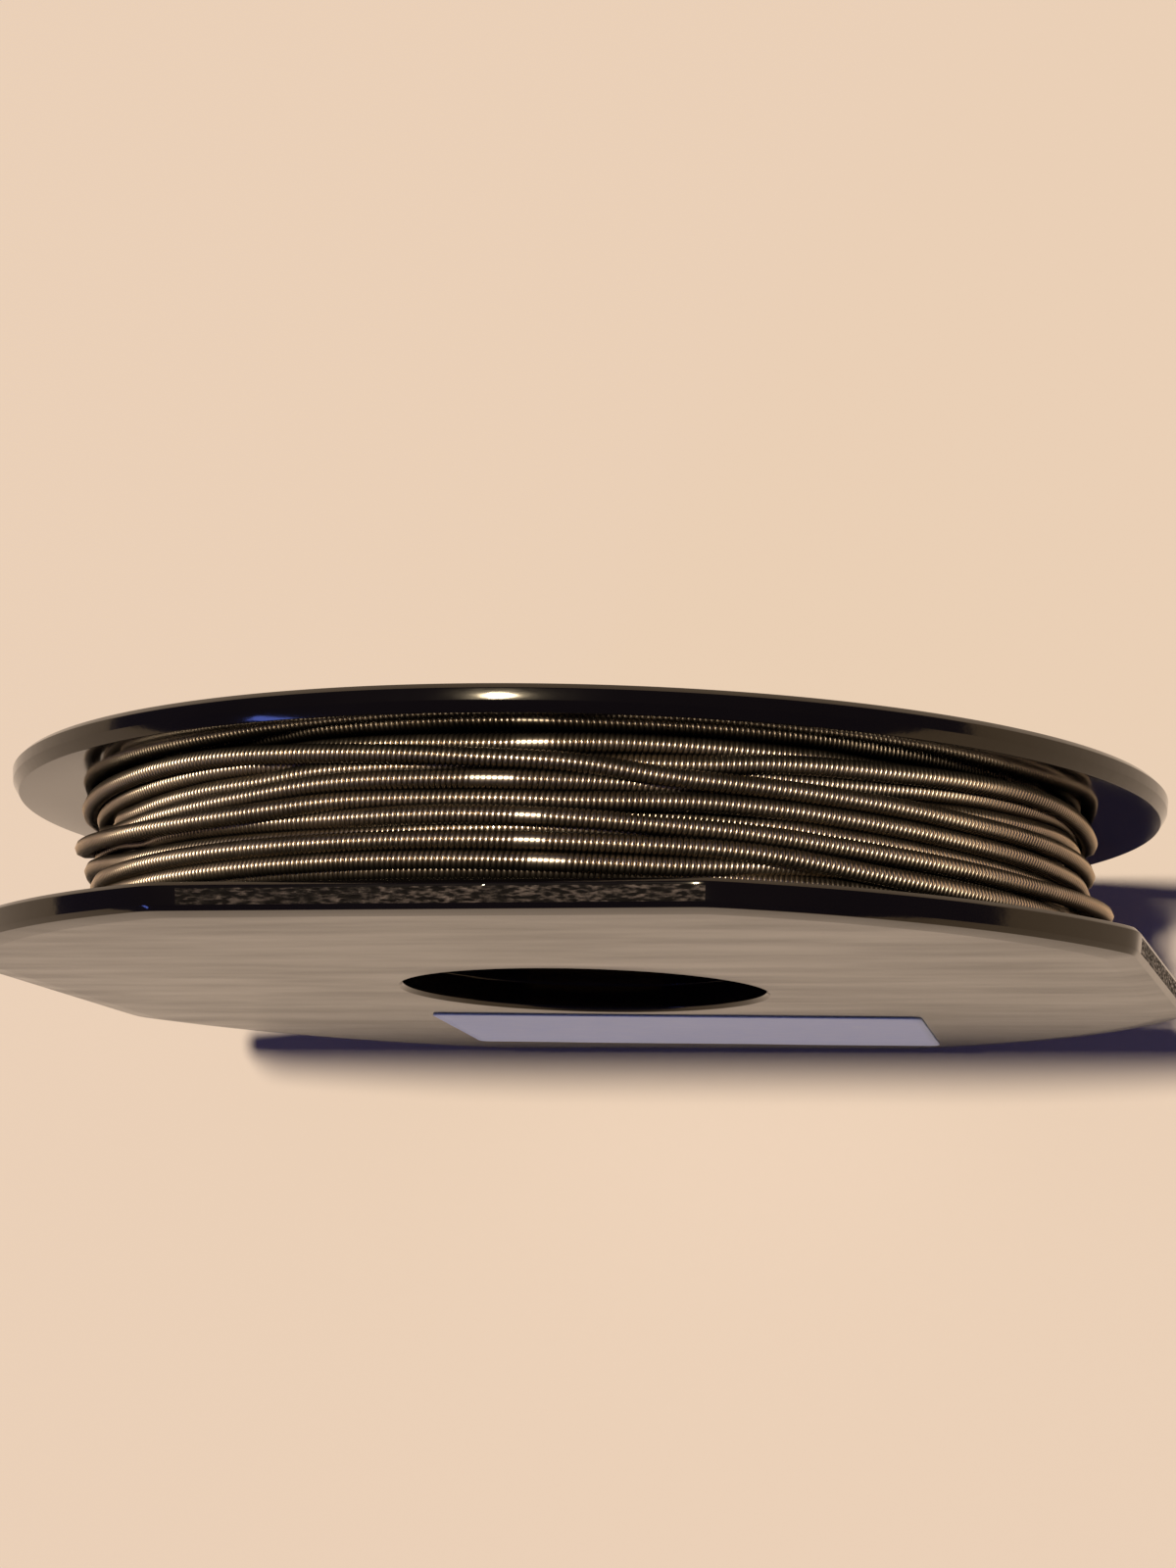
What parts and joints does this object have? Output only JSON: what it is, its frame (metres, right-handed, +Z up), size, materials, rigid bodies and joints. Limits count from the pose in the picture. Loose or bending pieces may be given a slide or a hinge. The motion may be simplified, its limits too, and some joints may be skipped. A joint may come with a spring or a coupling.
{
  "type": "wire spool",
  "caption": "Black plastic wire spool with one flat-sided and one round flange, wound with wrapped wire. It stands on edge on a flat, and turns on a spindle through its bore.",
  "frame": {"origin": "middle of the bore, half way between the two outer faces", "axes": "+Y along the bore, from the flat-sided flange to the round one; +Z up, square to the flat that the spool stands on; +X along that flat"},
  "size_m": [0.058, 0.0102, 0.058],
  "materials": {
    "black_plastic": "glossy moulded, faint flow waves, rough on the flats of the rim",
    "wire": "bright drawn resistance wire, closely wrapped",
    "inner_wire": "the same wire in the layers below",
    "label_paper": "matt paper sticker, blank"
  },
  "bodies": {
    "root": {"flat_sided_half": "black_plastic", "round_half": "black_plastic", "wire_inner_layers": "inner_wire", "wire_outer_layer": "wire", "label": "label_paper"}
  },
  "joints": []
}
